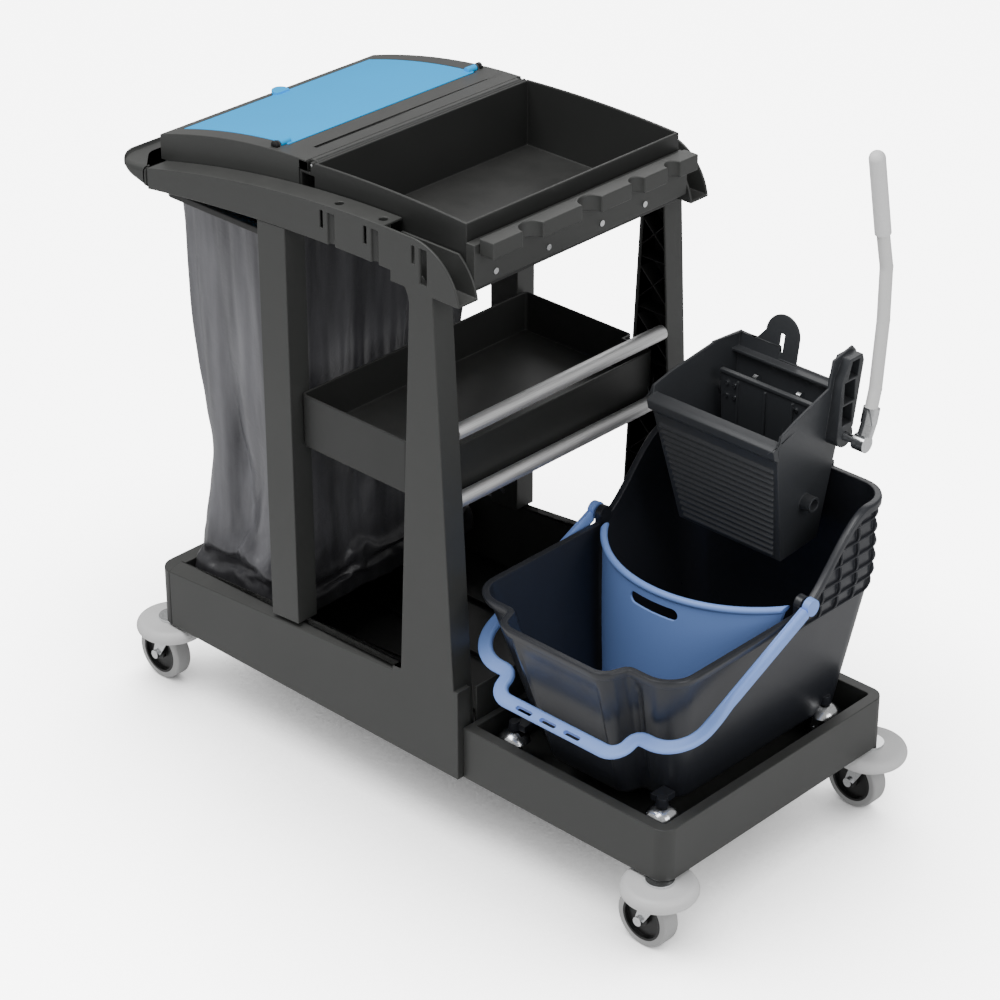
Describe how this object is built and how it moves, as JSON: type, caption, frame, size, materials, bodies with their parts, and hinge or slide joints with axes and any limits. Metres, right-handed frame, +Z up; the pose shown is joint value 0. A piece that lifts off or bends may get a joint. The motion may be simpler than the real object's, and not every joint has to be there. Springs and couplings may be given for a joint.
{
  "type": "housekeeping cart",
  "caption": "Janitorial cart with a flap-lidded waste bag bay, open trays, tool rail and castors, carrying a wheeled mop bucket with a lever press wringer.",
  "frame": {"origin": "centre of the bounding box at floor level, with every castor trailing towards the bag end", "axes": "+X from the waste bag end to the mop bucket end, +Y to the side away from the bucket spout, +Z up"},
  "size_m": [1.2645, 0.649, 1.1783],
  "materials": {
    "body_plastic": "fine moulded grain, satin",
    "tray_plastic": "fine moulded grain, satin",
    "black_plastic": "satin",
    "bag_film": "thin glossy film with soft folds",
    "bar_metal": "satin tube",
    "flap_plastic": "satin",
    "buffer_plastic": "satin",
    "tread": "matt",
    "hub_plastic": "satin",
    "bright_steel": "bright zinc",
    "bucket_plastic": "satin",
    "bail_plastic": "satin",
    "wringer_plastic": "fine moulded grain",
    "lever_paint": "satin",
    "grip_rubber": "matt"
  },
  "bodies": {
    "root": {"base_tub": "body_plastic", "side_panel_near": "body_plastic", "side_panel_far": "body_plastic", "rear_post_near": "body_plastic", "rear_post_far": "body_plastic", "post_liner_near": "black_plastic", "post_liner_far": "black_plastic", "push_handle": "body_plastic", "bag_rim": "black_plastic", "waste_bag": "bag_film", "cross_bar_upper": "bar_metal", "cross_bar_lower": "bar_metal", "middle_tray": "tray_plastic", "upper_tray": "tray_plastic", "end_beam": "body_plastic", "tool_rail": "body_plastic", "platform": "body_plastic", "castor_mounts": "bright_steel", "frame_screws": "bright_steel"},
    "lid": {"lid_frame": "body_plastic", "lid_pins": "bright_steel", "flap_pins": "black_plastic"},
    "flap": {"lid_flap": "flap_plastic"},
    "buffer_roller_rear_near": {"buffer_rear_near": "buffer_plastic"},
    "castor_rear_near": {"castor_fork_rear_near": "bright_steel"},
    "castor_wheel_rear_near": {"castor_tyre_rear_near": "tread", "castor_hub_rear_near": "hub_plastic"},
    "buffer_roller_rear_far": {"buffer_rear_far": "buffer_plastic"},
    "castor_rear_far": {"castor_fork_rear_far": "bright_steel"},
    "castor_wheel_rear_far": {"castor_tyre_rear_far": "tread", "castor_hub_rear_far": "hub_plastic"},
    "buffer_roller_front_near": {"buffer_front_near": "buffer_plastic"},
    "castor_front_near": {"castor_fork_front_near": "bright_steel"},
    "castor_wheel_front_near": {"castor_tyre_front_near": "tread", "castor_hub_front_near": "hub_plastic"},
    "buffer_roller_front_far": {"buffer_front_far": "buffer_plastic"},
    "castor_front_far": {"castor_fork_front_far": "bright_steel"},
    "castor_wheel_front_far": {"castor_tyre_front_far": "tread", "castor_hub_front_far": "hub_plastic"},
    "bucket": {"bucket_shell": "bucket_plastic", "bucket_castor_cups": "bright_steel"},
    "bucket_castor_left_near": {"bucket_fork_left_near": "bright_steel"},
    "bucket_roller_left_near": {"bucket_wheel_left_near": "hub_plastic"},
    "bucket_castor_left_far": {"bucket_fork_left_far": "bright_steel"},
    "bucket_roller_left_far": {"bucket_wheel_left_far": "hub_plastic"},
    "bucket_castor_right_near": {"bucket_fork_right_near": "bright_steel"},
    "bucket_roller_right_near": {"bucket_wheel_right_near": "hub_plastic"},
    "bucket_castor_right_far": {"bucket_fork_right_far": "bright_steel"},
    "bucket_roller_right_far": {"bucket_wheel_right_far": "hub_plastic"},
    "bail": {"bucket_bail": "bail_plastic"},
    "divider": {"bucket_divider": "bail_plastic"},
    "wringer": {"wringer_hopper": "wringer_plastic"},
    "press": {"press_plate": "wringer_plastic", "press_bolts": "bright_steel"},
    "lever": {"lever_shaft": "bright_steel", "lever_tube": "lever_paint", "lever_clamp": "bright_steel", "lever_grip": "grip_rubber"}
  },
  "joints": [
    {"name": "lid_hinge", "type": "hinge", "parent": "root", "child": "lid", "pos_m": [-0.18975, 0, 1.0825], "axis": [0, 1, 0], "range_deg": [0, 90]},
    {"name": "flap_hinge", "type": "hinge", "parent": "lid", "child": "flap", "pos_m": [-0.28325, 0, 1.08559], "axis": [0, 1, 0], "range_deg": [0, 100]},
    {"name": "buffer_turn_rear_near", "type": "hinge", "parent": "root", "child": "buffer_roller_rear_near", "pos_m": [-0.56025, -0.262, 0.1123], "axis": [0, 0, 1], "continuous": true},
    {"name": "castor_swivel_rear_near", "type": "hinge", "parent": "root", "child": "castor_rear_near", "pos_m": [-0.56025, -0.262, 0.1], "axis": [0, 0, 1], "continuous": true},
    {"name": "castor_spin_rear_near", "type": "hinge", "parent": "castor_rear_near", "child": "castor_wheel_rear_near", "pos_m": [-0.58225, -0.262, 0.05], "axis": [0, 1, 0], "continuous": true},
    {"name": "buffer_turn_rear_far", "type": "hinge", "parent": "root", "child": "buffer_roller_rear_far", "pos_m": [-0.56025, 0.262, 0.1123], "axis": [0, 0, 1], "continuous": true},
    {"name": "castor_swivel_rear_far", "type": "hinge", "parent": "root", "child": "castor_rear_far", "pos_m": [-0.56025, 0.262, 0.1], "axis": [0, 0, 1], "continuous": true},
    {"name": "castor_spin_rear_far", "type": "hinge", "parent": "castor_rear_far", "child": "castor_wheel_rear_far", "pos_m": [-0.58225, 0.262, 0.05], "axis": [0, 1, 0], "continuous": true},
    {"name": "buffer_turn_front_near", "type": "hinge", "parent": "root", "child": "buffer_roller_front_near", "pos_m": [0.56975, -0.262, 0.1123], "axis": [0, 0, 1], "continuous": true},
    {"name": "castor_swivel_front_near", "type": "hinge", "parent": "root", "child": "castor_front_near", "pos_m": [0.56975, -0.262, 0.1], "axis": [0, 0, 1], "continuous": true},
    {"name": "castor_spin_front_near", "type": "hinge", "parent": "castor_front_near", "child": "castor_wheel_front_near", "pos_m": [0.54775, -0.262, 0.05], "axis": [0, 1, 0], "continuous": true},
    {"name": "buffer_turn_front_far", "type": "hinge", "parent": "root", "child": "buffer_roller_front_far", "pos_m": [0.56975, 0.262, 0.1123], "axis": [0, 0, 1], "continuous": true},
    {"name": "castor_swivel_front_far", "type": "hinge", "parent": "root", "child": "castor_front_far", "pos_m": [0.56975, 0.262, 0.1], "axis": [0, 0, 1], "continuous": true},
    {"name": "castor_spin_front_far", "type": "hinge", "parent": "castor_front_far", "child": "castor_wheel_front_far", "pos_m": [0.54775, 0.262, 0.05], "axis": [0, 1, 0], "continuous": true},
    {"name": "bucket_lift", "type": "slide", "parent": "root", "child": "bucket", "axis": [0, 0, 1], "range_m": [0, 0.12]},
    {"name": "bucket_swivel_left_near", "type": "hinge", "parent": "bucket", "child": "bucket_castor_left_near", "pos_m": [0.21475, -0.211, 0.2], "axis": [0, 0, 1], "continuous": true},
    {"name": "bucket_spin_left_near", "type": "hinge", "parent": "bucket_castor_left_near", "child": "bucket_roller_left_near", "pos_m": [0.20275, -0.211, 0.172], "axis": [0, 1, 0], "continuous": true},
    {"name": "bucket_swivel_left_far", "type": "hinge", "parent": "bucket", "child": "bucket_castor_left_far", "pos_m": [0.21475, 0.19, 0.2], "axis": [0, 0, 1], "continuous": true},
    {"name": "bucket_spin_left_far", "type": "hinge", "parent": "bucket_castor_left_far", "child": "bucket_roller_left_far", "pos_m": [0.20275, 0.19, 0.172], "axis": [0, 1, 0], "continuous": true},
    {"name": "bucket_swivel_right_near", "type": "hinge", "parent": "bucket", "child": "bucket_castor_right_near", "pos_m": [0.52675, -0.211, 0.2], "axis": [0, 0, 1], "continuous": true},
    {"name": "bucket_spin_right_near", "type": "hinge", "parent": "bucket_castor_right_near", "child": "bucket_roller_right_near", "pos_m": [0.51475, -0.211, 0.172], "axis": [0, 1, 0], "continuous": true},
    {"name": "bucket_swivel_right_far", "type": "hinge", "parent": "bucket", "child": "bucket_castor_right_far", "pos_m": [0.52675, 0.19, 0.2], "axis": [0, 0, 1], "continuous": true},
    {"name": "bucket_spin_right_far", "type": "hinge", "parent": "bucket_castor_right_far", "child": "bucket_roller_right_far", "pos_m": [0.51475, 0.19, 0.172], "axis": [0, 1, 0], "continuous": true},
    {"name": "bail_swing", "type": "hinge", "parent": "bucket", "child": "bail", "pos_m": [0.37075, 0.05, 0.489], "axis": [-1, 0, 0], "range_deg": [0, 112]},
    {"name": "divider_lift", "type": "slide", "parent": "bucket", "child": "divider", "axis": [0, 0, 1], "range_m": [0, 0.25]},
    {"name": "wringer_lift", "type": "slide", "parent": "bucket", "child": "wringer", "axis": [0, 0, 1], "range_m": [0, 0.15]},
    {"name": "lever_pull", "type": "hinge", "parent": "wringer", "child": "lever", "pos_m": [0.53975, 0.229, 0.686], "axis": [1, 0, 0], "range_deg": [0, 75]},
    {"name": "press_slide", "type": "slide", "parent": "wringer", "child": "press", "axis": [0, -1, 0], "range_m": [0, 0.06]}
  ],
  "couplings": [
    {"joint": "press_slide", "follows": "lever_pull", "m_per_rad": 0.045836}
  ]
}
